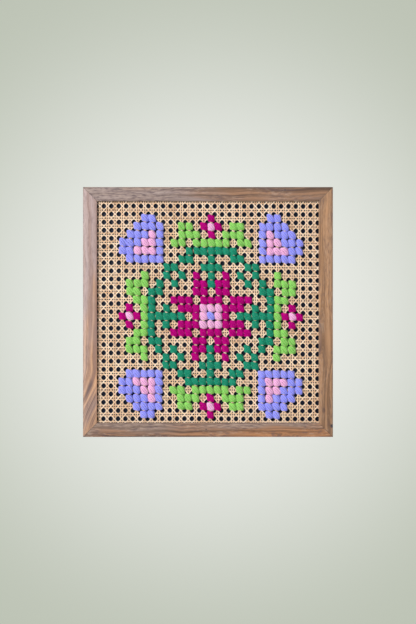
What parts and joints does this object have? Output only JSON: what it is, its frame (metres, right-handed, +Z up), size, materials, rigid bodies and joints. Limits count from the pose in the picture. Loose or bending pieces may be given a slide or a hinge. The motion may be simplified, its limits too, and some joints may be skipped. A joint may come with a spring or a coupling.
{
  "type": "embroidered cane wall panel",
  "caption": "Square wall panel of woven cane in a mitred wooden frame, cross-stitched with thick yarn, with hanger rings and a backing board held by turn buttons.",
  "frame": {"origin": "centre of the square panel, on the wall plane that the backs of the wall pads touch", "axes": "+Z up the wall, +X to the right of someone who looks at the front, +Y into the wall, so the front faces -Y"},
  "size_m": [0.406, 0.0215, 0.406],
  "materials": {
    "frame_wood": "oiled walnut-look hardwood, satin",
    "slip_wood": "raw softwood",
    "board": "dark blue painted fibreboard, matte",
    "cane": "natural peeled cane, satin",
    "yarn_violet": "soft stranded yarn",
    "yarn_magenta": "soft stranded yarn",
    "yarn_pink": "soft stranded yarn",
    "yarn_dark_green": "soft stranded yarn",
    "yarn_light_green": "soft stranded yarn",
    "steel": "zinc plated",
    "brass": "satin",
    "pad_rubber": "matte"
  },
  "bodies": {
    "panel": {"rail_top": "frame_wood", "rail_left": "frame_wood", "rail_bottom": "frame_wood", "rail_right": "frame_wood", "corner_nail_top_right": "steel", "corner_nail_top_left": "steel", "corner_nail_bottom_left": "steel", "corner_nail_bottom_right": "steel", "slip_top": "slip_wood", "slip_left": "slip_wood", "slip_bottom": "slip_wood", "slip_right": "slip_wood", "backing_board": "board", "cane_web": "cane", "yarn_star": "yarn_magenta", "yarn_star_ring": "yarn_pink", "yarn_star_centre": "yarn_violet", "yarn_wreath": "yarn_dark_green", "yarn_leaf_spray_top": "yarn_light_green", "yarn_leaf_spray_left": "yarn_light_green", "yarn_leaf_spray_bottom": "yarn_light_green", "yarn_leaf_spray_right": "yarn_light_green", "yarn_blossom_top": "yarn_magenta", "yarn_blossom_left": "yarn_magenta", "yarn_blossom_bottom": "yarn_magenta", "yarn_blossom_right": "yarn_magenta", "yarn_blossom_centre_top": "yarn_pink", "yarn_blossom_centre_left": "yarn_pink", "yarn_blossom_centre_bottom": "yarn_pink", "yarn_blossom_centre_right": "yarn_pink", "yarn_heart_top_right": "yarn_violet", "yarn_heart_top_left": "yarn_violet", "yarn_heart_bottom_left": "yarn_violet", "yarn_heart_bottom_right": "yarn_violet", "yarn_heart_centre_top_right": "yarn_pink", "yarn_heart_centre_top_left": "yarn_pink", "yarn_heart_centre_bottom_left": "yarn_pink", "yarn_heart_centre_bottom_right": "yarn_pink", "turn_screw_top": "brass", "turn_screw_left": "brass", "turn_screw_bottom": "brass", "turn_screw_right": "brass", "hanger_strap_left": "steel", "hanger_strap_right": "steel", "hanger_screw_left": "steel", "hanger_screw_right": "steel", "wall_pad_left": "pad_rubber", "wall_pad_right": "pad_rubber"},
    "ring_left": {"hanger_ring_left": "steel"},
    "ring_right": {"hanger_ring_right": "steel"},
    "button_top": {"turn_button_top": "brass"},
    "button_left": {"turn_button_left": "brass"},
    "button_bottom": {"turn_button_bottom": "brass"},
    "button_right": {"turn_button_right": "brass"}
  },
  "joints": [
    {"name": "ring_left_swing", "type": "hinge", "parent": "panel", "child": "ring_left", "pos_m": [-0.1945, -0.00305, 0.1], "axis": [1, 0, 0], "range_deg": [-180, 0]},
    {"name": "ring_right_swing", "type": "hinge", "parent": "panel", "child": "ring_right", "pos_m": [0.1945, -0.00305, 0.1], "axis": [1, 0, 0], "range_deg": [-180, 0]},
    {"name": "button_top_turn", "type": "hinge", "parent": "panel", "child": "button_top", "pos_m": [0, -0.0046, 0.196], "axis": [0, 1, 0], "continuous": true},
    {"name": "button_left_turn", "type": "hinge", "parent": "panel", "child": "button_left", "pos_m": [-0.196, -0.0046, 0], "axis": [0, 1, 0], "continuous": true},
    {"name": "button_bottom_turn", "type": "hinge", "parent": "panel", "child": "button_bottom", "pos_m": [0, -0.0046, -0.196], "axis": [0, 1, 0], "continuous": true},
    {"name": "button_right_turn", "type": "hinge", "parent": "panel", "child": "button_right", "pos_m": [0.196, -0.0046, 0], "axis": [0, 1, 0], "continuous": true}
  ]
}
